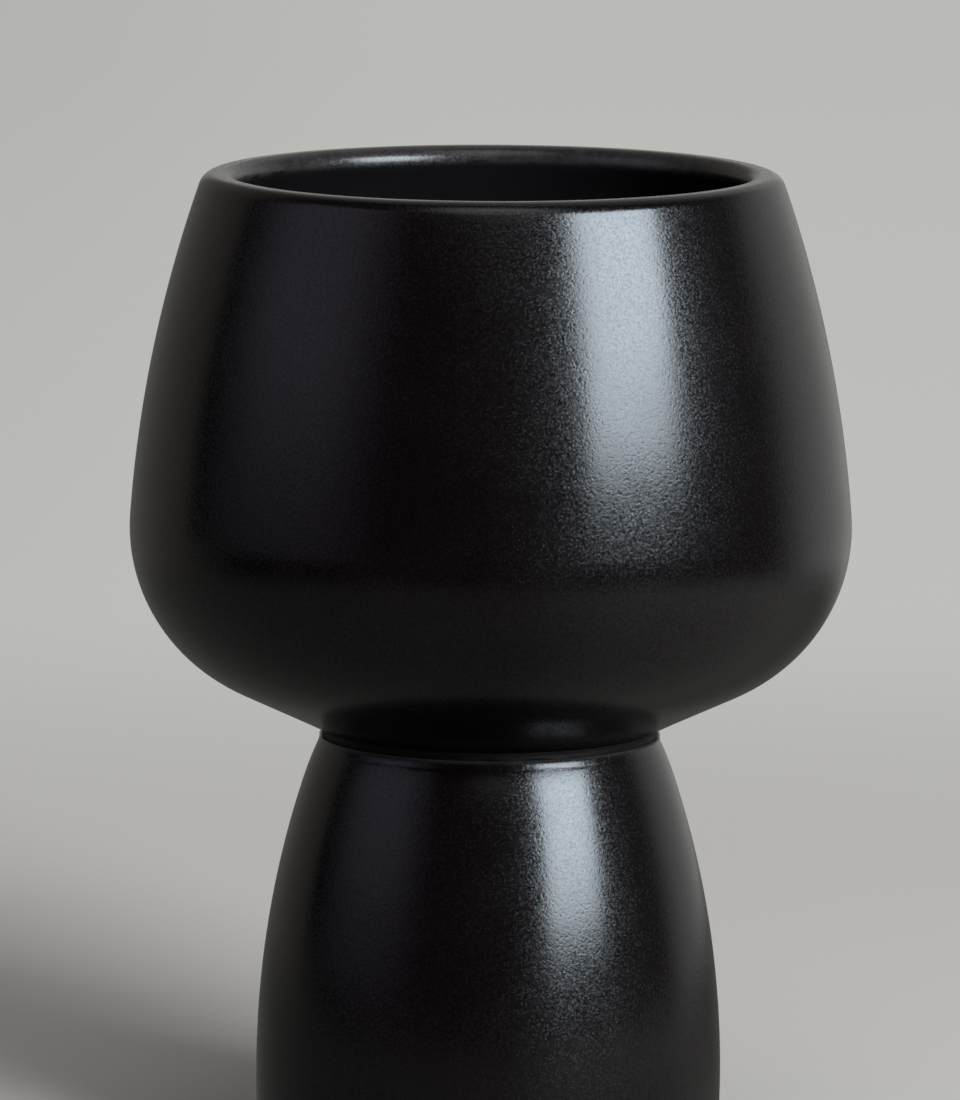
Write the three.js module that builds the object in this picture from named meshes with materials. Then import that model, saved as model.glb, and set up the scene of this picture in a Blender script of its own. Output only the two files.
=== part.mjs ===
// Candle vessel in black glazed stoneware: a round-shouldered bowl on a hollow, bullet-shaped pedestal.
//
// The bowl and the pedestal are cast apart. A short centring ring under the bowl's floor drops into the
// opening of the pedestal's top, and a ring of slip lutes the two together. Four pads protect the table.
//
// Units are millimetres and +Z is up. The origin is on the axis, in the plane that the pads stand on.
// Every outline is a chain of tangent arcs in the plane through the axis: x is the distance from the axis
// and y the height. An arc's angle is the angle of its outward normal above the horizontal, in degrees.

import * as THREE from 'three';

// Bowl
const BOWL_RADIUS = 60; // at the belly, where the bowl is widest
const BELLY_HEIGHT = 109.9;
const BELLY_ARC = 29.3; // radius of the belly's curve
const SIDE_ARC = 218; // radius of the long, nearly straight side above it
const UNDERSIDE_ANGLE = -64.8; // the belly's curve ends here in a straight cone down to the joint
const SIDE_START_ANGLE = 4.4;
const SIDE_END_ANGLE = 19.145;
const WALL = 5; // cast wall of both pieces
const LIP_OUTER_ARC = 2.9; // rounds the side over to the lip's flat land
const LIP_INNER_ARC = 2.5; // rounds the land over to the mouth
const MOUTH_RADIUS = 42.2; // narrowest place of the mouth, under that rounding
const MOUTH_DEPTH = 3; // from the land to where the inside starts to widen
const INNER_BLEND_ANGLE = 16.5; // the inside has widened to the wall's own thickness here
const FLOOR_ARC = 15; // inside, between the cone and the flat floor
const FLOOR_ANGLE = -90; // the flat floor's outward normal, straight down

// Pedestal
const PEDESTAL_RADIUS = 38.9; // at its widest
const PEDESTAL_WIDEST_HEIGHT = 18;
const DOME_ARC = 159.5; // radius of the pedestal's long side
const SHOULDER_ARC = 60; // tighter curve near the top
const NECK_FILLET = 3.4; // hollow curve that turns the shoulder upright under the joint
const DOME_END_ANGLE = 18;
const SHOULDER_END_ANGLE = 24.4;
const DOME_START_ANGLE = -4;
const HEEL_ARC = 5.8; // rounded outer edge of the foot
const CEILING_ARC = 5.5; // inside, between the wall and the ceiling
const FOOT_INNER_RADIUS = 25;
const FOOT_INNER_ARC = 1.5;
const FOOT_THICKNESS = 5; // height of the foot's upright inner face
const OPENING_RADIUS = 12; // hole in the pedestal's top
const OPENING_CHAMFER = 0.6;

// Joint
const JOINT_RADIUS = 28; // outside of the slip ring
const JOINT_INNER_RADIUS = 20;
const JOINT_EDGE = 0.3; // chamfer on the ring's outer edges
const CENTRING_RADIUS = 11.3;
const CENTRING_BORE = 7;
const CENTRING_DEPTH = 5;
const GAP = 0.2; // clearance between two pieces that lie face to face

// Pads
const PAD_COUNT = 4;
const PAD_RADIUS = 3.4;
const PAD_THICKNESS = 1.2;
const PAD_EDGE = 0.3;
const PAD_CIRCLE_RADIUS = 29.6;

// Facets
const ROUND_SEGMENTS = 60;
const PAD_SEGMENTS = 16;
const SAME_POINT = 1e-6;

const glaze = new THREE.MeshStandardMaterial({ color: 0x151517, roughness: 0.38, metalness: 0 });
const pedestalGlaze = new THREE.MeshStandardMaterial({ color: 0x131315, roughness: 0.38, metalness: 0 });
const slipGlaze = new THREE.MeshStandardMaterial({ color: 0x1a1918, roughness: 0.5, metalness: 0 });
const padRubber = new THREE.MeshStandardMaterial({ color: 0x232324, roughness: 0.85, metalness: 0 });

const point = (radius, height) => new THREE.Vector2(radius, height);

/** Point at a distance from a centre, in the direction of an angle. */
function offset(centre, distance, angle) {
  const turn = THREE.MathUtils.degToRad(angle);
  return point(centre.x + distance * Math.cos(turn), centre.y + distance * Math.sin(turn));
}

/** Points along an arc, both ends included. */
function arc(centre, radius, from, to, steps) {
  return Array.from({ length: steps + 1 }, (_, i) => offset(centre, radius, from + ((to - from) * i) / steps));
}

/** Solid of revolution about the upright axis. The outline runs anticlockwise and closes or ends on the axis. */
function turned(name, outline, material, segments = ROUND_SEGMENTS) {
  const distinct = outline.filter((p, i) => i === 0 || p.distanceTo(outline[i - 1]) > SAME_POINT);
  const mesh = new THREE.Mesh(new THREE.LatheGeometry(distinct, segments), material);
  mesh.name = name;
  mesh.rotation.x = Math.PI / 2;
  return mesh;
}

// Centres of the bowl's outer arcs, each tangent to the one below it.
const bellyCentre = point(BOWL_RADIUS - BELLY_ARC, BELLY_HEIGHT);
const sideCentre = offset(bellyCentre, BELLY_ARC - SIDE_ARC, SIDE_START_ANGLE);
const lipCentre = offset(sideCentre, SIDE_ARC - LIP_OUTER_ARC, SIDE_END_ANGLE);
const rimHeight = lipCentre.y + LIP_OUTER_ARC;
const underside = offset(bellyCentre, BELLY_ARC, UNDERSIDE_ANGLE);
const coneSlope = Math.tan(THREE.MathUtils.degToRad(90 + UNDERSIDE_ANGLE));
const bowlBase = underside.y - (underside.x - JOINT_RADIUS) * coneSlope;

// Centres of the pedestal's outer arcs.
const domeCentre = point(PEDESTAL_RADIUS - DOME_ARC, PEDESTAL_WIDEST_HEIGHT);
const shoulderCentre = offset(domeCentre, DOME_ARC - SHOULDER_ARC, DOME_END_ANGLE);
const neckCentre = offset(shoulderCentre, SHOULDER_ARC + NECK_FILLET, SHOULDER_END_ANGLE);
const heelCentre = offset(domeCentre, DOME_ARC - HEEL_ARC, DOME_START_ANGLE);
const pedestalTop = neckCentre.y;
const footHeight = heelCentre.y - HEEL_ARC;

function makeBowl() {
  // Below the mouth the thick lip thins smoothly to the wall.
  const innerLipCentre = point(MOUTH_RADIUS + LIP_INNER_ARC, rimHeight - LIP_INNER_ARC);
  const mouth = point(MOUTH_RADIUS, rimHeight - MOUTH_DEPTH);
  const wallTop = offset(sideCentre, SIDE_ARC - WALL, INNER_BLEND_ANGLE);
  const lipBlend = new THREE.CubicBezierCurve(
    mouth,
    point(mouth.x, mouth.y - 1),
    offset(wallTop, 6, INNER_BLEND_ANGLE + 90),
    wallTop,
  );

  // The floor arc touches both the floor and the inside of the cone.
  const floorHeight = bowlBase + WALL;
  const innerUnderside = offset(bellyCentre, BELLY_ARC - WALL, UNDERSIDE_ANGLE);
  const floorEdge = innerUnderside.x - (innerUnderside.y - floorHeight) / coneSlope;
  const floorTangent = FLOOR_ARC * Math.tan(THREE.MathUtils.degToRad((90 + UNDERSIDE_ANGLE) / 2));
  const floorCentre = point(floorEdge - floorTangent, floorHeight + FLOOR_ARC);

  return turned('bowl', [
    point(0, bowlBase),
    point(CENTRING_BORE, bowlBase),
    point(CENTRING_BORE, bowlBase - CENTRING_DEPTH),
    point(CENTRING_RADIUS, bowlBase - CENTRING_DEPTH),
    point(CENTRING_RADIUS, bowlBase),
    point(JOINT_RADIUS, bowlBase),
    ...arc(bellyCentre, BELLY_ARC, UNDERSIDE_ANGLE, 0, 8),
    ...arc(bellyCentre, BELLY_ARC, 0, SIDE_START_ANGLE, 1),
    ...arc(sideCentre, SIDE_ARC, SIDE_START_ANGLE, SIDE_END_ANGLE, 4),
    ...arc(lipCentre, LIP_OUTER_ARC, SIDE_END_ANGLE, 90, 4),
    ...arc(innerLipCentre, LIP_INNER_ARC, 90, 180, 4),
    ...lipBlend.getPoints(4),
    ...arc(sideCentre, SIDE_ARC - WALL, INNER_BLEND_ANGLE, SIDE_START_ANGLE, 3),
    ...arc(bellyCentre, BELLY_ARC - WALL, SIDE_START_ANGLE, UNDERSIDE_ANGLE, 8),
    ...arc(floorCentre, FLOOR_ARC, UNDERSIDE_ANGLE, FLOOR_ANGLE, 2),
    point(0, floorHeight),
  ], glaze);
}

function makeJointRing() {
  const low = pedestalTop + GAP;
  const high = bowlBase - GAP;
  return turned('joint_ring', [
    point(JOINT_INNER_RADIUS, low),
    point(JOINT_RADIUS - JOINT_EDGE, low),
    point(JOINT_RADIUS, low + JOINT_EDGE),
    point(JOINT_RADIUS, high - JOINT_EDGE),
    point(JOINT_RADIUS - JOINT_EDGE, high),
    point(JOINT_INNER_RADIUS, high),
    point(JOINT_INNER_RADIUS, low),
  ], slipGlaze);
}

function makePedestal() {
  const innerDomeEnd = offset(domeCentre, DOME_ARC - WALL, DOME_END_ANGLE);
  const ceilingCentre = offset(innerDomeEnd, -CEILING_ARC, DOME_END_ANGLE);
  const ceilingHeight = ceilingCentre.y + CEILING_ARC;
  const footCornerCentre = point(FOOT_INNER_RADIUS + FOOT_INNER_ARC, footHeight + FOOT_INNER_ARC);

  // The thick foot thins to the wall in a smooth S, upright at both ends.
  const footTop = point(FOOT_INNER_RADIUS, footHeight + FOOT_THICKNESS);
  const wallStart = point(PEDESTAL_RADIUS - WALL, PEDESTAL_WIDEST_HEIGHT);
  const middleHeight = (footTop.y + wallStart.y) / 2;
  const footBlend = new THREE.CubicBezierCurve(
    wallStart,
    point(wallStart.x, middleHeight),
    point(footTop.x, middleHeight),
    footTop,
  );

  return turned('pedestal', [
    ...arc(heelCentre, HEEL_ARC, -90, DOME_START_ANGLE, 5),
    ...arc(domeCentre, DOME_ARC, DOME_START_ANGLE, 0, 1),
    ...arc(domeCentre, DOME_ARC, 0, DOME_END_ANGLE, 5),
    ...arc(shoulderCentre, SHOULDER_ARC, DOME_END_ANGLE, SHOULDER_END_ANGLE, 2),
    ...arc(neckCentre, -NECK_FILLET, SHOULDER_END_ANGLE, 0, 2),
    point(OPENING_RADIUS + OPENING_CHAMFER, pedestalTop),
    point(OPENING_RADIUS, pedestalTop - OPENING_CHAMFER),
    point(OPENING_RADIUS, ceilingHeight),
    ...arc(ceilingCentre, CEILING_ARC, 90, DOME_END_ANGLE, 3),
    ...arc(domeCentre, DOME_ARC - WALL, DOME_END_ANGLE, 0, 5),
    ...footBlend.getPoints(6),
    ...arc(footCornerCentre, -FOOT_INNER_ARC, 0, 90, 2),
    point(heelCentre.x, footHeight),
  ], pedestalGlaze);
}

function makePad(number) {
  const pad = turned(`base_pad_${number}`, [
    point(0, 0),
    point(PAD_RADIUS - PAD_EDGE, 0),
    point(PAD_RADIUS, PAD_EDGE),
    point(PAD_RADIUS, PAD_THICKNESS),
    point(0, PAD_THICKNESS),
  ], padRubber, PAD_SEGMENTS);
  const turn = ((number - 0.5) / PAD_COUNT) * 2 * Math.PI;
  pad.position.set(PAD_CIRCLE_RADIUS * Math.cos(turn), PAD_CIRCLE_RADIUS * Math.sin(turn), 0);
  return pad;
}

const vessel = new THREE.Group();
vessel.add(makePedestal(), makeJointRing(), makeBowl());
for (let number = 1; number <= PAD_COUNT; number += 1) vessel.add(makePad(number));

export default vessel;
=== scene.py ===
"""Looks of the candle vessel in black glazed stoneware: a bowl luted on a hollow pedestal, on a pale floor.

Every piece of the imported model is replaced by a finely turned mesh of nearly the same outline. The ceramic
ones have the slight unevenness of cast and sponged clay. The materials are glaze over bare clay, slip and
rubber. Lengths are in metres, in the model's own frame: +Z up, origin on the axis, on the plane that the pads
stand on. As in the model, an outline is a chain of tangent arcs of (distance from the axis, height), and an
arc's angle is the angle of its outward normal above the horizontal, in degrees.
"""

import math

import bpy
import numpy as np
from mathutils import Euler, Matrix, Vector, noise


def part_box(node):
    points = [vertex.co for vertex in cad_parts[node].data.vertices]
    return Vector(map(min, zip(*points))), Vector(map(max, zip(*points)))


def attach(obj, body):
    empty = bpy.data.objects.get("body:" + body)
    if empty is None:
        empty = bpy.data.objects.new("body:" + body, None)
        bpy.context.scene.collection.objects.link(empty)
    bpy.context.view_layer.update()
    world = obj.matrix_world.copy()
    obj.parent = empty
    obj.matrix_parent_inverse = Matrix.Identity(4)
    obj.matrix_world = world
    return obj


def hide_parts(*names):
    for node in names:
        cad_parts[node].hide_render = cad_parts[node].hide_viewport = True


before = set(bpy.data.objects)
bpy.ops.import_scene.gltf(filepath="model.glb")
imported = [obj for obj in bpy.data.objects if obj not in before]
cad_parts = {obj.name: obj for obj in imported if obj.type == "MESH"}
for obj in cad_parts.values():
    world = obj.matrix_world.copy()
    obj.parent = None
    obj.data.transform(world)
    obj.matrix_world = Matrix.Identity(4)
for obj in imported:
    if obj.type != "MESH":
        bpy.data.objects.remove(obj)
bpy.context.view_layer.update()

MM = 0.001

# Camera
EYE = Vector((-1.75, -1548.7, 329.5)) * MM
LOOK_DOWN = 8.22  # degrees below the horizontal
ROLL = 0.266  # degrees
LENS = 308.2  # mm, on a sensor whose long side is SENSOR
SENSOR = 36

# Outline of the bowl
BELLY_ARC = 29.3 * MM
SIDE_ARC = 218 * MM
UNDERSIDE_ANGLE = -64.8
SIDE_START_ANGLE = 4.4
SIDE_END_ANGLE = 19.145
WALL = 5 * MM
LIP_OUTER_ARC = 2.9 * MM
LIP_INNER_ARC = 2.5 * MM
MOUTH_RADIUS = 42.2 * MM
MOUTH_DEPTH = 3 * MM
INNER_BLEND_ANGLE = 16.5
FLOOR_ARC = 15 * MM
FLOOR_ANGLE = -90
BELLY_HEIGHT = 109.9 * MM
CENTRING_RADIUS = 11.3 * MM
CENTRING_BORE = 7 * MM
JOINT_RADIUS = 28 * MM
JOINT_INNER_RADIUS = 20 * MM

# Outline of the pedestal
WIDEST_HEIGHT = 18 * MM
DOME_ARC = 159.5 * MM
SHOULDER_ARC = 60 * MM
NECK_FILLET = 3.4 * MM
DOME_START_ANGLE = -4
DOME_END_ANGLE = 18
SHOULDER_END_ANGLE = 24.4
HEEL_ARC = 5.8 * MM
CEILING_ARC = 5.5 * MM
FOOT_INNER_RADIUS = 25 * MM
FOOT_INNER_ARC = 1.5 * MM
FOOT_THICKNESS = 5 * MM
OPENING_RADIUS = 12 * MM
OPENING_CHAMFER = 0.6 * MM
GROOVE_DEPTH = 0.05 * MM  # the faint groove at the lower end of the neck fillet
GROOVE_REACH = 0.20 * MM
GLAZE_THICKNESS = 0.14 * MM  # bare clay lies this much deeper than the glaze

# Mesh
ROUND_SEGMENTS = 320
PAD_SEGMENTS = 64
COARSE = 1.3 * MM  # spacing along an outline
FINE = 0.3 * MM  # the same at lips and edges
FINEST = 0.13 * MM  # the same at the neck, where the slip was wiped
SHARP = math.radians(38)


# ---------------------------------------------------------------------------- outlines and turned meshes

def offset(centre, distance, angle):
    """Point at a distance from a centre, in the direction of an angle."""
    turn = math.radians(angle)
    return centre[0] + distance * math.cos(turn), centre[1] + distance * math.sin(turn)


def arc(centre, radius, start, end, spacing=COARSE):
    """Points along an arc, both ends included."""
    steps = max(2, round(abs(math.radians(end - start) * radius) / spacing))
    return [offset(centre, radius, start + (end - start) * i / steps) for i in range(steps + 1)]


def line(start, end, spacing=COARSE):
    """Points along a straight line, both ends included."""
    steps = max(1, round(math.dist(start, end) / spacing))
    share = [i / steps for i in range(steps + 1)]
    return [(start[0] + (end[0] - start[0]) * s, start[1] + (end[1] - start[1]) * s) for s in share]


def bezier(a, b, c, d, steps):
    """Points along a cubic curve, both ends included."""
    curve = [(i / steps, 1 - i / steps) for i in range(steps + 1)]
    return [
        tuple(u**3 * a[k] + 3 * u * u * t * b[k] + 3 * u * t * t * c[k] + t**3 * d[k] for k in (0, 1))
        for t, u in curve
    ]


def turned(name, outline, segments=ROUND_SEGMENTS):
    """Surface of revolution about the upright axis, closed where the outline meets the axis or itself."""
    tiny = 0.001 * MM
    points = [p for i, p in enumerate(outline) if i == 0 or math.dist(p, outline[i - 1]) > tiny]
    rings = [p for p in points if p[0] > tiny]
    loop = len(rings) == len(points) and math.dist(rings[0], rings[-1]) <= tiny
    if loop:
        rings.pop()
    turns = [2 * math.pi * j / segments for j in range(segments)]
    vertices = [(r * math.cos(t), r * math.sin(t), z) for r, z in rings for t in turns]
    faces = []
    for i in range(len(rings) if loop else len(rings) - 1):
        low, high = i * segments, (i + 1) % len(rings) * segments
        for j in range(segments):
            k = (j + 1) % segments
            faces.append((low + j, low + k, high + k, high + j))
    top = (len(rings) - 1) * segments
    if points[0][0] <= tiny:
        vertices.append((0, 0, points[0][1]))
        faces += [(len(vertices) - 1, (j + 1) % segments, j) for j in range(segments)]
    if points[-1][0] <= tiny:
        vertices.append((0, 0, points[-1][1]))
        faces += [(len(vertices) - 1, top + j, top + (j + 1) % segments) for j in range(segments)]
    return new_mesh_piece(name, vertices, faces)


def new_mesh_piece(name, vertices, faces):
    mesh = bpy.data.meshes.new(name)
    mesh.from_pydata(vertices, [], faces)
    mesh.polygons.foreach_set("use_smooth", [True] * len(mesh.polygons))
    piece = bpy.data.objects.new(name, mesh)
    bpy.context.scene.collection.objects.link(piece)
    return piece


def vertex_table(mesh, values, field):
    table = np.zeros(len(values) * 3, np.float32)
    values.foreach_get(field, table)
    return table.reshape(-1, 3).astype(float)


def press_in(piece, depth):
    """Moves each vertex into the clay by depth(point), which is never negative, along its normal."""
    mesh = piece.data
    places = vertex_table(mesh, mesh.vertices, "co")
    normals = vertex_table(mesh, mesh.vertex_normals, "vector")
    depths = np.array([depth(Vector(p)) for p in places])
    mesh.vertices.foreach_set("co", (places - normals * depths[:, None]).astype(np.float32).ravel())
    mesh.update()


def mark(piece, name, amount):
    """Stores amount(point), from 0 to 1, on each vertex for the material to read."""
    layer = piece.data.attributes.new(name, "FLOAT", "POINT")
    layer.data.foreach_set("value", [amount(v.co) for v in piece.data.vertices])


def wave(point, size, seed):
    """Smooth noise from 0 to 1 whose bumps are about this far apart."""
    return 0.5 + 0.5 * max(-1, min(1, noise.noise(point / size + Vector((seed, 0, 0)))))


def cast_unevenness(point):
    """Depth of the slow waves that casting, fettling and the glaze leave."""
    return 0.10 * MM * wave(point, 42 * MM, 3) + 0.030 * MM * wave(point, 13 * MM, 11)


def ramp(value, start, end):
    """Smooth step from 0 at start to 1 at end."""
    t = max(0, min(1, (value - start) / (end - start)))
    return t * t * (3 - 2 * t)


def finish_piece(piece, node, slot, *materials):
    """Gives the piece its materials, and puts it in the place of its CAD node."""
    for material in materials:
        piece.data.materials.append(material)
    piece.data.set_sharp_from_angle(angle=SHARP)
    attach(piece, "root")
    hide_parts(node)


# ---------------------------------------------------------------------------- materials

class Nodes:
    """Adds nodes to a node tree: inputs are values or sockets, and settings are the node's own."""

    def __init__(self, tree):
        self.tree = tree
        tree.nodes.clear()

    def add(self, kind, inputs=None, **settings):
        node = self.tree.nodes.new("ShaderNode" + kind)
        for name, value in settings.items():
            setattr(node, name, value)
        for socket, value in (inputs or {}).items():
            if isinstance(value, bpy.types.NodeSocket):
                self.tree.links.new(value, node.inputs[socket])
            else:
                node.inputs[socket].default_value = value
        return node

    def noise(self, place, scale, detail=2.0, roughness=0.5):
        """Noise from 0 to 1, with its scale per metre."""
        settings = {"Vector": place, "Scale": scale, "Detail": detail, "Roughness": roughness}
        return self.add("TexNoise", settings).outputs["Fac"]

    def remap(self, value, start, end, low, high, kind="LINEAR"):
        settings = {"Value": value, "From Min": start, "From Max": end, "To Min": low, "To Max": high}
        return self.add("MapRange", settings, interpolation_type=kind).outputs["Result"]

    def blend(self, share, first, second):
        """Colour that goes from first to second as share goes from 0 to 1."""
        factor, a, b, result = 0, 6, 7, 2
        return self.add("Mix", {factor: share, a: first, b: second}, data_type="RGBA").outputs[result]

    def maths(self, operation, first, second):
        return self.add("Math", {0: first, 1: second}, operation=operation).outputs["Value"]

    def attribute(self, name):
        return self.add("Attribute", attribute_name=name).outputs["Fac"]


def new_material(name):
    material = bpy.data.materials.new(name)
    material.use_nodes = True
    nodes = Nodes(material.node_tree)
    place = nodes.add("TexCoord").outputs["Object"]
    return material, nodes, place


def close_material(nodes, inputs):
    shader = nodes.add("BsdfPrincipled", inputs)
    nodes.add("OutputMaterial", {"Surface": shader.outputs["BSDF"]})


GLAZE = (0.0030, 0.0018, 0.0020, 1)
GLAZE_CLOUD = (0.0038, 0.0023, 0.0024, 1)
GLAZE_THIN = (0.034, 0.030, 0.029, 1)  # the clay shows through where the glaze runs thin
GLAZE_INSIDE = (0.0095, 0.0090, 0.0104, 1)  # poured in and out again, it is a thinner, greyer coat
CLAY = (0.150, 0.108, 0.078, 1)
CLAY_DARK = (0.085, 0.058, 0.041, 1)
GRAIN = 2400  # per metre, the fine leathery grain of the glaze
GRAIN_DEPTH = 0.010 * MM
SPECKS = 1.05 * GRAIN  # spots that are shinier or duller than the rest
PITTING = 1900  # per metre, the pinholes that the glaze healed over
PIT_DEPTH = 0.007 * MM
CLOUDS = 85  # per metre, the slow change of tone
BREAKING = 420  # per metre, the patches in which thin glaze shows the clay
GROG = 900  # per metre, the grit in the clay
GROG_DEPTH = 0.12 * MM
RAGGEDNESS = 600  # per metre, the uneven edge of the glaze


def make_glaze():
    """Satin black glaze, steered by the vertex marks thin (on an edge), inside (the cup) and bare (clay)."""
    material, nodes, place = new_material("satin_black_glaze")
    thin = nodes.attribute("thin")
    inside = nodes.attribute("inside")
    grain = nodes.noise(place, GRAIN, detail=1.0)
    speck = nodes.noise(place, SPECKS, detail=1.0)
    pits = nodes.remap(nodes.noise(place, PITTING, detail=1.0), 0.50, 0.75, 0, -PIT_DEPTH,
                       "SMOOTHSTEP")
    cloud = nodes.noise(place, CLOUDS, detail=3.0, roughness=0.55)

    glaze = nodes.blend(nodes.remap(cloud, 0.35, 0.65, 0, 1), GLAZE, GLAZE_CLOUD)
    breaking = nodes.maths("MULTIPLY", thin,
                           nodes.remap(nodes.noise(place, BREAKING, detail=3.0), 0.35, 0.62, 0.55, 1))
    glaze = nodes.blend(breaking, nodes.blend(inside, glaze, GLAZE_INSIDE), GLAZE_THIN)
    gloss = nodes.maths("ADD", nodes.remap(cloud, 0.3, 0.7, 0.19, 0.23),
                        nodes.remap(speck, 0.33, 0.66, -0.065, 0.065))
    gloss = nodes.maths("ADD", gloss, nodes.remap(inside, 0, 1, 0, 0.04))
    gloss = nodes.maths("ADD", gloss, nodes.remap(thin, 0, 1, 0, 0.05))

    grog = nodes.noise(place, GROG, detail=4.0, roughness=0.6)
    ragged = nodes.maths("ADD", nodes.attribute("bare"),
                         nodes.remap(nodes.noise(place, RAGGEDNESS), 0.3, 0.7, -0.2, 0.2))
    bare = nodes.remap(ragged, 0.44, 0.56, 0, 1, "SMOOTHSTEP")
    clay = nodes.blend(nodes.remap(grog, 0.4, 0.66, 0, 1), CLAY, CLAY_DARK)
    glazed = nodes.maths("ADD", nodes.maths("MULTIPLY", grain, GRAIN_DEPTH), pits)
    height = nodes.maths("ADD", nodes.maths("MULTIPLY", glazed, nodes.remap(bare, 0, 1, 1, 0)),
                         nodes.maths("MULTIPLY", grog, nodes.remap(bare, 0, 1, 0, GROG_DEPTH)))
    bump = nodes.add("Bump", {"Height": height, "Distance": 1.0})
    close_material(nodes, {
        "Base Color": nodes.blend(bare, glaze, clay),
        "Roughness": nodes.maths("ADD", gloss, nodes.remap(bare, 0, 1, 0, 0.65)),
        "Normal": bump.outputs["Normal"],
        "IOR": 1.5,
        "Specular IOR Level": nodes.remap(speck, 0.3, 0.7, 0.36, 0.64),
        "Coat Weight": nodes.remap(bare, 0, 1, 0.04, 0),  # a faint wide sheen round the highlights
        "Coat Roughness": 0.45,
        "Coat Normal": bump.outputs["Normal"],
    })
    return material


def make_slip():
    """The luting slip in the crease: a dry, broken coat of glaze over wiped clay."""
    material, nodes, place = new_material("glazed_slip")
    grain = nodes.noise(place, scale=1700, detail=3.0, roughness=0.6)
    smear = nodes.noise(place, scale=350, detail=3.0, roughness=0.55)
    bump = nodes.add("Bump", {"Height": nodes.maths("MULTIPLY", grain, 0.07 * MM), "Distance": 1.0})
    close_material(nodes, {
        "Base Color": nodes.blend(nodes.remap(smear, 0.35, 0.65, 0, 1), (0.0040, 0.0032, 0.0030, 1),
                                  (0.0075, 0.0060, 0.0050, 1)),
        "Roughness": nodes.remap(smear, 0.3, 0.7, 0.48, 0.62),
        "Normal": bump.outputs["Normal"],
        "IOR": 1.5,
        "Specular IOR Level": 0.16,  # dry and full of pores
    })
    return material


def make_rubber():
    """Dark, slightly dusty rubber of the pads."""
    material, nodes, place = new_material("dark_rubber")
    dust = nodes.noise(place, scale=700, detail=4.0, roughness=0.6)
    pores = nodes.noise(place, scale=4200)
    bump = nodes.add("Bump", {"Height": nodes.maths("MULTIPLY", pores, 0.02 * MM), "Distance": 1.0})
    close_material(nodes, {
        "Base Color": nodes.blend(nodes.remap(dust, 0.4, 0.7, 0, 1), (0.012, 0.012, 0.0125, 1),
                                  (0.030, 0.029, 0.028, 1)),
        "Roughness": nodes.remap(dust, 0.3, 0.7, 0.62, 0.85),
        "Normal": bump.outputs["Normal"],
        "IOR": 1.5,
    })
    return material


# ---------------------------------------------------------------------------- the pieces

def around(point):
    """The point's direction from the axis, as a place on a small circle, for noise that only turns."""
    reach = math.hypot(point.x, point.y) or 1
    return Vector((point.x / reach, point.y / reach, 0))


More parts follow.
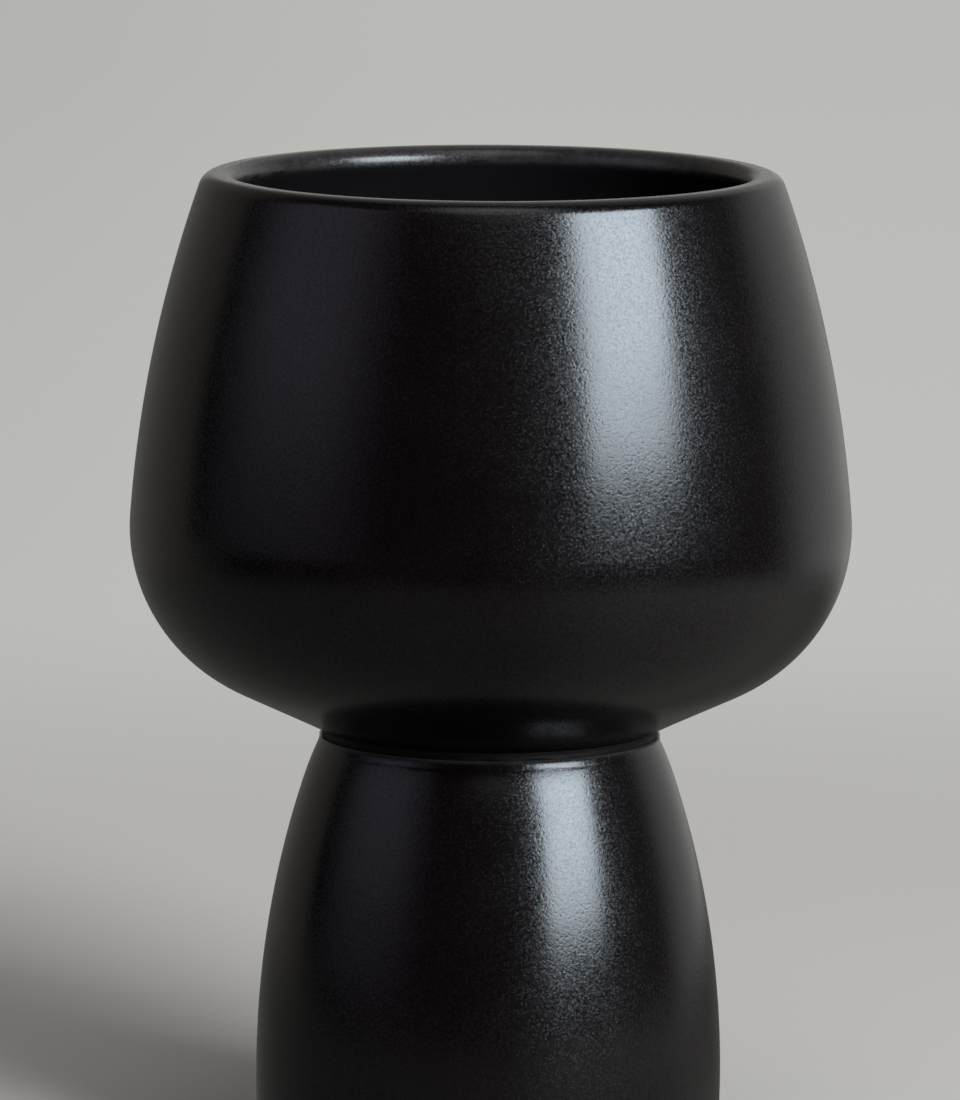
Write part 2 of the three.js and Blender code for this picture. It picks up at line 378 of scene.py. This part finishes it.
def make_bowl(glaze):
    low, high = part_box("bowl")
    belly_radius, rim, centring_end = high.x, high.z, low.z
    belly = (belly_radius - BELLY_ARC, BELLY_HEIGHT)
    side = offset(belly, BELLY_ARC - SIDE_ARC, SIDE_START_ANGLE)
    lip = offset(side, SIDE_ARC - LIP_OUTER_ARC, SIDE_END_ANGLE)
    underside = offset(belly, BELLY_ARC, UNDERSIDE_ANGLE)
    slope = math.tan(math.radians(90 + UNDERSIDE_ANGLE))
    base = underside[1] - (underside[0] - JOINT_RADIUS) * slope

    # Below the mouth the thick lip thins smoothly to the wall.
    inner_lip = (MOUTH_RADIUS + LIP_INNER_ARC, rim - LIP_INNER_ARC)
    mouth = (MOUTH_RADIUS, rim - MOUTH_DEPTH)
    wall_top = offset(side, SIDE_ARC - WALL, INNER_BLEND_ANGLE)
    mouth_pull, wall_pull = 1 * MM, 6 * MM
    lip_blend = bezier(mouth, (mouth[0], mouth[1] - mouth_pull),
                       offset(wall_top, wall_pull, INNER_BLEND_ANGLE + 90), wall_top, steps=16)

    # The floor arc touches both the floor and the inside of the cone.
    floor = base + WALL
    inner_cone = offset(belly, BELLY_ARC - WALL, UNDERSIDE_ANGLE)
    floor_edge = inner_cone[0] - (inner_cone[1] - floor) / slope
    floor_centre = (
        floor_edge - FLOOR_ARC * math.tan(math.radians((90 + UNDERSIDE_ANGLE) / 2)),
        floor + FLOOR_ARC,
    )

    outline = (
        line((0, base), (CENTRING_BORE, base), CENTRING_BORE)
        + line((CENTRING_BORE, base), (CENTRING_BORE, centring_end))
        + line((CENTRING_BORE, centring_end), (CENTRING_RADIUS, centring_end))
        + line((CENTRING_RADIUS, centring_end), (CENTRING_RADIUS, base))
        + line((CENTRING_RADIUS, base), (JOINT_RADIUS, base), 3 * COARSE)
        + line((JOINT_RADIUS, base), underside)
        + arc(belly, BELLY_ARC, UNDERSIDE_ANGLE, 0)
        + arc(belly, BELLY_ARC, 0, SIDE_START_ANGLE)
        + arc(side, SIDE_ARC, SIDE_START_ANGLE, SIDE_END_ANGLE)
        + arc(lip, LIP_OUTER_ARC, SIDE_END_ANGLE, 90, FINE)
        + arc(inner_lip, LIP_INNER_ARC, 90, 180, FINE)
        + lip_blend
        + arc(side, SIDE_ARC - WALL, INNER_BLEND_ANGLE, SIDE_START_ANGLE)
        + arc(belly, BELLY_ARC - WALL, SIDE_START_ANGLE, UNDERSIDE_ANGLE)
        + arc(floor_centre, FLOOR_ARC, UNDERSIDE_ANGLE, FLOOR_ANGLE)
        + line((floor_centre[0], floor), (0, floor))
    )
    piece = turned("glazed_bowl", outline)
    side_start = offset(side, SIDE_ARC, SIDE_START_ANGLE)[1]

    def depth(point):
        """The unevenness, which starts just above the flat face that the joint grips."""
        return cast_unevenness(point) * ramp(point.z, base + 0.1 * MM, base + 2.1 * MM)

    def inside(point):
        """1 in the cup, 0 outside and on the lip."""
        reach = math.hypot(point.x, point.y)
        if point.z < base + WALL / 2 + max(0, reach - JOINT_RADIUS) * slope:
            return 0
        centre, radius = (side, SIDE_ARC) if point.z > side_start else (belly, BELLY_ARC)
        skin = radius - math.hypot(reach - centre[0], point.z - centre[1])
        if reach > underside[0] and skin < WALL / 2:
            return 0
        return 1 - ramp(point.z, rim - 3 * MM, rim - 1.5 * MM)

    mark(piece, "inside", inside)
    press_in(piece, depth)

    def thin(point):
        """Along the rounded inner edge of the lip, down to a wandering line."""
        edge = rim - LIP_INNER_ARC + (0.5 * wave(around(point), 0.08, 7) - 0.3) * MM
        reach = math.hypot(point.x, point.y)
        rounding = 1 - ramp(reach, inner_lip[0] - 1.1 * MM, inner_lip[0] - 0.1 * MM)
        return ramp(point.z, edge - 0.1 * MM, edge + 0.1 * MM) * rounding

    mark(piece, "thin", thin)
    mark(piece, "bare", lambda p: 1 - ramp(p.z, base - 0.2 * MM, base + 0.02 * MM))
    finish_piece(piece, "bowl", "bowl_glaze", glaze)
    return base


def make_pedestal(glaze):
    low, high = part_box("pedestal")
    foot, top, widest = low.z, high.z, high.x
    dome = (widest - DOME_ARC, WIDEST_HEIGHT)
    shoulder = offset(dome, DOME_ARC - SHOULDER_ARC, DOME_END_ANGLE)
    neck = offset(shoulder, SHOULDER_ARC + NECK_FILLET, SHOULDER_END_ANGLE)
    heel = offset(dome, DOME_ARC - HEEL_ARC, DOME_START_ANGLE)
    inner_end = offset(dome, DOME_ARC - WALL, DOME_END_ANGLE)
    ceiling = offset(inner_end, -CEILING_ARC, DOME_END_ANGLE)
    ceiling_height = ceiling[1] + CEILING_ARC
    foot_corner = (FOOT_INNER_RADIUS + FOOT_INNER_ARC, foot + FOOT_INNER_ARC)
    foot_top = (FOOT_INNER_RADIUS, foot + FOOT_THICKNESS)
    wall_start = (widest - WALL, WIDEST_HEIGHT)
    middle = (foot_top[1] + wall_start[1]) / 2

    outline = (
        arc(heel, HEEL_ARC, -90, DOME_START_ANGLE, FINE)
        + arc(dome, DOME_ARC, DOME_START_ANGLE, 0)
        + arc(dome, DOME_ARC, 0, DOME_END_ANGLE)
        + arc(shoulder, SHOULDER_ARC, DOME_END_ANGLE, SHOULDER_END_ANGLE, FINE)
        + arc(neck, -NECK_FILLET, SHOULDER_END_ANGLE, 0, FINEST)
        + line((neck[0] - NECK_FILLET, top), (OPENING_RADIUS + OPENING_CHAMFER, top), 3 * COARSE)
        + line((OPENING_RADIUS, top - OPENING_CHAMFER), (OPENING_RADIUS, ceiling_height))
        + line((OPENING_RADIUS, ceiling_height), (ceiling[0], ceiling_height))
        + arc(ceiling, CEILING_ARC, 90, DOME_END_ANGLE)
        + arc(dome, DOME_ARC - WALL, DOME_END_ANGLE, 0, 2 * COARSE)
        + bezier(wall_start, (wall_start[0], middle), (foot_top[0], middle), foot_top, steps=16)
        + arc(foot_corner, -FOOT_INNER_ARC, 0, 90, FINE)
        + line((foot_corner[0], foot), (heel[0], foot))
    )
    piece = turned("glazed_pedestal", outline)
    groove_height = offset(neck, -NECK_FILLET, SHOULDER_END_ANGLE)[1]
    outside = FOOT_INNER_RADIUS + 2 * FOOT_INNER_ARC

    def glaze_line(point):
        """Height at which the glaze ends: it was sponged off the foot by hand."""
        return foot + (1.5 + 1.1 * wave(around(point), 0.35, 5)) * MM

    def bareness(point):
        """0 on the glazed outside, 1 on the foot and in the hollow."""
        reach = math.hypot(point.x, point.y)
        skin = DOME_ARC - math.hypot(reach - dome[0], point.z - dome[1])
        if skin > WALL / 2 and foot + HEEL_ARC < point.z < ceiling_height + OPENING_CHAMFER:
            return 1
        if reach < outside + HEEL_ARC / 2 and point.z < foot + HEEL_ARC:
            return 1
        return 1 - ramp(point.z, glaze_line(point) - 0.2 * MM, glaze_line(point) + 0.2 * MM)

    def depth(point):
        groove = math.exp(-(((point.z - groove_height) / GROOVE_REACH) ** 2)) * GROOVE_DEPTH
        groove *= ramp(wave(around(point), 0.22, 9), 0.30, 0.62)
        missing_coat = GLAZE_THICKNESS * bareness(point)
        return (cast_unevenness(point) + groove) * ramp(top - point.z, 0, 0.5 * MM) + missing_coat

    press_in(piece, depth)
    mark(piece, "thin", lambda p: 0.6 * ramp(p.z, top - 0.9 * MM, top - 0.3 * MM))
    mark(piece, "bare", bareness)
    finish_piece(piece, "pedestal", "pedestal_glaze", glaze)
    return top


def make_joint_ring(slip, top, base):
    """The slip fills the crease from the pedestal's top to the bowl's base, and was wiped hollow."""
    low = (JOINT_RADIUS + 0.05 * MM, top)
    hollow_low = (low[0] - 0.14 * MM, top + 0.5 * MM)
    hollow_high = (low[0] - 0.16 * MM, base - 0.4 * MM)
    high = (JOINT_RADIUS + 0.12 * MM, base + 0.05 * MM)
    face = bezier(low, hollow_low, hollow_high, high, steps=12)
    outline = (
        line((JOINT_INNER_RADIUS, top), low)
        + face
        + line((JOINT_RADIUS, base), (JOINT_INNER_RADIUS, base))
        + line((JOINT_INNER_RADIUS, base), (JOINT_INNER_RADIUS, top))
    )
    piece = turned("luting_ring", outline)

    def depth(point):
        if math.hypot(point.x, point.y) < JOINT_RADIUS:
            return 0
        return 0.10 * MM * wave(around(point) + Vector((0, 0, point.z / (2 * MM))), 0.12, 2)

    press_in(piece, depth)
    finish_piece(piece, "joint_ring", "joint_glaze", slip)


def make_pad(node, rubber, foot):
    """A stick-on pad: a rounded tread with a shallow dimple, up to the foot that it is stuck on."""
    low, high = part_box(node)
    radius = (high.x - low.x) / 2
    tread, shoulder = 0.45 * MM, 0.2 * MM
    dimple, dimple_depth = 1.3 * MM, 0.25 * MM
    outline = (
        line((0, dimple_depth), (dimple, dimple_depth), FINE)
        + line((dimple, dimple_depth), (dimple + dimple_depth, 0), FINE / 2)
        + line((dimple + dimple_depth, 0), (radius - tread, 0), FINE)
        + arc((radius - tread, tread), tread, -90, 0, FINE / 3)
        + arc((radius - shoulder, foot - shoulder), shoulder, 0, 90, FINE / 3)
        + line((radius - shoulder, foot), (0, foot), FINE)
    )
    piece = turned(node.replace("base", "rubber"), outline, PAD_SEGMENTS)
    piece.data.transform(Matrix.Translation(((low.x + high.x) / 2, (low.y + high.y) / 2, 0)))
    finish_piece(piece, node, "pad_rubber", rubber)


# ---------------------------------------------------------------------------- stage, light and camera

NEAR_RADIUS = 0.25  # the lights alone light the floor up to here
FAR_RADIUS = 0.65  # from here on the floor only glows by itself
COVE_START = 2.75
COVE_ARC = 0.85
COVE_HEIGHT = 2.6
STAGE_SEGMENTS = 96
STAGE_SPACING = 0.05
FLOOR_KEY_AZIMUTH = 34
FLOOR_KEY_ELEVATION = 27
FLOOR_KEY_DISTANCE = 3.0
FLOOR_KEY_RADIANCE = 16.1
OVERHEAD_RADIANCE = 0.13


def towards(azimuth, elevation=0.0):
    """Unit vector to the camera's side at azimuth 0, and to its right at 90."""
    a, e = math.radians(azimuth), math.radians(elevation)
    return Vector((math.sin(a) * math.cos(e), -math.cos(a) * math.cos(e), math.sin(e)))


def make_floor():
    """Pale floor that curves up into a wall all round."""
    floor = turned("studio_floor", (
        line((0, 0), (COVE_START, 0), STAGE_SPACING)
        + arc((COVE_START, COVE_ARC), COVE_ARC, -90, 0, STAGE_SPACING)
        + [(COVE_START + COVE_ARC, COVE_HEIGHT)]
    ), STAGE_SEGMENTS)
    material, nodes, place = new_material("pale_floor")
    reach = nodes.add("VectorMath", {0: place}, operation="LENGTH").outputs["Value"]
    across = nodes.add("SeparateXYZ", {"Vector": place}).outputs["X"]
    mottle = nodes.noise(place, 2.2, 3.0, 0.5)
    lit = nodes.add("BsdfDiffuse", {
        "Color": nodes.blend(mottle, (0.83, 0.79, 0.745, 1), (0.88, 0.835, 0.79, 1)),
    })
    # Painted light: the glow is a little brighter to the right, on the key light's side, and near the object.
    level = nodes.maths("MULTIPLY", nodes.remap(across, -0.20, 0.0, 1.0, 1.08, "SMOOTHSTEP"),
                        nodes.remap(reach, 0.7, 2.0, 1.055, 1.0))
    glow = nodes.add("Emission", {"Color": (0.455, 0.456, 0.435, 1), "Strength": level})
    even = nodes.remap(reach, NEAR_RADIUS, FAR_RADIUS, 0, 1, "SMOOTHSTEP")
    mixed = nodes.add("MixShader", {0: even, 1: lit.outputs[0], 2: glow.outputs[0]})
    nodes.add("OutputMaterial", {"Surface": mixed.outputs[0]})
    floor.data.materials.append(material)
    floor.visible_glossy = False
    floor.visible_diffuse = False
    return floor


def make_painted_floor_reflection():
    """Painted reflection of the floor, seen only in the glaze: a glowing disc with a painted glare brightest
    on the key light's side, weaker near the object, and lost a little way out.
    """
    height, radius = 0.3 * MM, 0.62
    brightest = towards(70)
    painted_reflection = turned("painted_floor_reflection", line((0, height), (radius, height), STAGE_SPACING), STAGE_SEGMENTS)
    material, nodes, place = new_material("painted_floor_reflection")
    reach = nodes.add("VectorMath", {0: place}, operation="LENGTH").outputs["Value"]
    facing = nodes.add("VectorMath", {0: place, 1: brightest}, operation="DOT_PRODUCT").outputs["Value"]
    facing = nodes.maths("DIVIDE", facing, reach)
    # painted glare of the key light on the floor, with painted shade near the object
    painted_glare = nodes.maths("MULTIPLY", nodes.remap(facing, 0.42, 1.0, 0, 0.24, "SMOOTHSTEP"),
                         nodes.remap(reach, 0.03, 0.30, 0.30, 1.15))
    glow = nodes.add("Emission", {
        "Color": (1.0, 0.99, 0.95, 1),
        "Strength": nodes.maths("ADD", painted_glare, 0.115),
    })
    clear = nodes.add("BsdfTransparent")
    gone = nodes.remap(reach, 0.28, radius, 0, 1, "SMOOTHSTEP")
    mixed = nodes.add("MixShader", {0: gone, 1: glow.outputs[0], 2: clear.outputs[0]})
    nodes.add("OutputMaterial", {"Surface": mixed.outputs[0]})
    painted_reflection.data.materials.append(material)
    painted_reflection.visible_camera = False
    painted_reflection.visible_diffuse = False
    painted_reflection.visible_shadow = False
    return painted_reflection


def make_panel(name, distance, left, right, low, high, colour, strength):
    """Glowing upright panel bent round the axis. strength(nodes, across, up) gives its brightness from the
    place on it, from 0 to 1 each way, and right(up) the azimuth of its right-hand edge."""
    columns, rows = 12, 10
    vertices = []
    for i in range(rows + 1):
        up = i / rows
        for j in range(columns + 1):
            place = towards(left + (right(up) - left) * j / columns) * distance
            vertices.append((place.x, place.y, low + (high - low) * up))
    faces = []
    for i in range(rows):
        for j in range(columns):
            corner = i * (columns + 1) + j
            faces.append((corner, corner + 1, corner + columns + 2, corner + columns + 1))
    panel = new_mesh_piece(name, vertices, faces)
    for mark_name, count, stride in (("across", columns, 1), ("up", rows, columns + 1)):
        layer = panel.data.attributes.new(mark_name, "FLOAT", "POINT")
        layer.data.foreach_set("value", [k // stride % (count + 1) / count for k in range(len(vertices))])
    material, nodes, _ = new_material(name)
    glow = nodes.add("Emission", {
        "Color": colour,
        "Strength": strength(nodes, nodes.attribute("across"), nodes.attribute("up")),
    })
    nodes.add("OutputMaterial", {"Surface": glow.outputs[0]})
    panel.data.materials.append(material)
    panel.visible_camera = False
    panel.visible_shadow = False
    return panel


def make_key_light():
    """Tall softbox to the right of the camera, dimmer towards its lower edge, as the glaze mirrors it."""
    def strength(nodes, across, up):
        return nodes.maths("ADD", nodes.remap(up, 0, 0.3, 11.5, 15.0), nodes.remap(up, 0.3, 1, 0, 1.0))

    panel = make_panel("key_softbox", distance=2.05, left=32.4, right=lambda up: 61 + 13 * up**0.75,
                       low=0.37, high=1.80, colour=(0.80, 0.905, 1.0, 1), strength=strength)
    panel.visible_diffuse = False
    return panel


def make_left_card():
    """Weak reflector on the left that fades out at its edges."""
    def strength(nodes, across, up):
        sides = nodes.maths("MULTIPLY", nodes.remap(across, 0, 0.42, 0, 1, "SMOOTHSTEP"),
                            nodes.remap(across, 0.60, 1, 1, 0, "SMOOTHSTEP"))
        return nodes.maths("MULTIPLY", sides, nodes.remap(up, 0.06, 0.34, 0.17, 0.45, "SMOOTHSTEP"))

    panel = make_panel("left_card", distance=1.2, left=-110, right=lambda up: -30,
                       low=0.05, high=1.30, colour=(0.79, 0.76, 1.0, 1), strength=strength)
    panel.visible_diffuse = False
    return panel


def area_light(name, place, target, width, height, radiance, colour):
    """Soft light that the glaze doesn't mirror."""
    data = bpy.data.lights.new(name, "AREA")
    data.shape = "RECTANGLE"
    data.size, data.size_y = width, height
    data.energy = 4 * width * height * radiance  # an area light's radiance is its power / 4 / area
    data.color = colour
    light = bpy.data.objects.new(name, data)
    light.location = place
    light.rotation_euler = (place - target).to_track_quat("Z", "Y").to_euler()
    light.visible_camera = False
    light.visible_glossy = False
    bpy.context.scene.collection.objects.link(light)


def make_floor_lights():
    """The key light's share on the floor, with its soft shadow, and the room's own light from above."""
    middle = Vector((0, 0, 0.05))
    key_place = towards(FLOOR_KEY_AZIMUTH, FLOOR_KEY_ELEVATION) * FLOOR_KEY_DISTANCE
    area_light("floor_key", key_place, middle,
               width=1.02, height=1.36, radiance=FLOOR_KEY_RADIANCE, colour=(0.90, 0.96, 1.0))
    area_light("overhead", Vector((0.1, -0.3, 2.3)), middle,
               width=1.6, height=1.6, radiance=OVERHEAD_RADIANCE, colour=(1.0, 0.88, 0.70))


def make_world():
    """What the glaze mirrors beyond the lights: a dark studio with paler walls behind and overhead."""
    world = bpy.data.worlds.new("studio")
    world.use_nodes = True
    bpy.context.scene.world = world
    nodes = Nodes(world.node_tree)
    direction = nodes.add("TexCoord").outputs["Generated"]
    total = (0.011, 0.008, 0.009)
    patches = (
        # azimuth, elevation, full out to, gone beyond, colour
        (141, 0, 14, 42, (0.50, 0.50, 0.49)),
        (-145, 0, 10, 60, (0.16, 0.155, 0.14)),
        (180, 5, 3, 14, (0.34, 0.34, 0.33)),
        (172, 30, 4, 22, (0.22, 0.22, 0.22)),
        (165, 56, 8, 32, (0.24, 0.24, 0.25)),
        (5, 57, 6, 28, (0.90, 0.92, 0.96)),
        (0, 76, 6, 18, (0.65, 0.65, 0.72)),
        (92, 12, 4, 34, (0.03, 0.03, 0.03)),
    )
    for azimuth, elevation, inner, outer, colour in patches:
        facing = nodes.add("VectorMath", {0: direction, 1: towards(azimuth, elevation)},
                           operation="DOT_PRODUCT").outputs["Value"]
        share = nodes.remap(facing, math.cos(math.radians(outer)), math.cos(math.radians(inner)), 0, 1,
                            "SMOOTHSTEP")
        patch = nodes.add("VectorMath", {0: colour, "Scale": share}, operation="SCALE").outputs["Vector"]
        total = nodes.add("VectorMath", {0: total, 1: patch}, operation="ADD").outputs["Vector"]
    background = nodes.add("Background", {"Color": total})
    nodes.add("OutputWorld", {"Surface": background.outputs["Background"]})


def make_camera():
    data = bpy.data.cameras.new("camera")
    data.sensor_width = SENSOR
    data.lens = LENS
    data.clip_start, data.clip_end = 0.05, 20
    camera = bpy.data.objects.new("camera", data)
    camera.location = EYE
    level = Euler((math.radians(90 - LOOK_DOWN), 0, 0)).to_matrix()
    camera.rotation_euler = (level @ Matrix.Rotation(math.radians(ROLL), 3, "Z")).to_euler()
    bpy.context.scene.collection.objects.link(camera)
    bpy.context.scene.camera = camera


make_camera()
black_glaze = make_glaze()
bowl_base = make_bowl(black_glaze)
pedestal_top = make_pedestal(black_glaze)
make_joint_ring(make_slip(), pedestal_top, bowl_base)
pad_rubber = make_rubber()
for name in sorted(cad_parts):
    if name.startswith("base_pad"):
        make_pad(name, pad_rubber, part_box("pedestal")[0].z)
make_floor()
make_painted_floor_reflection()
make_key_light()
make_left_card()
make_floor_lights()
make_world()
bpy.context.scene.view_settings.view_transform = "Standard"
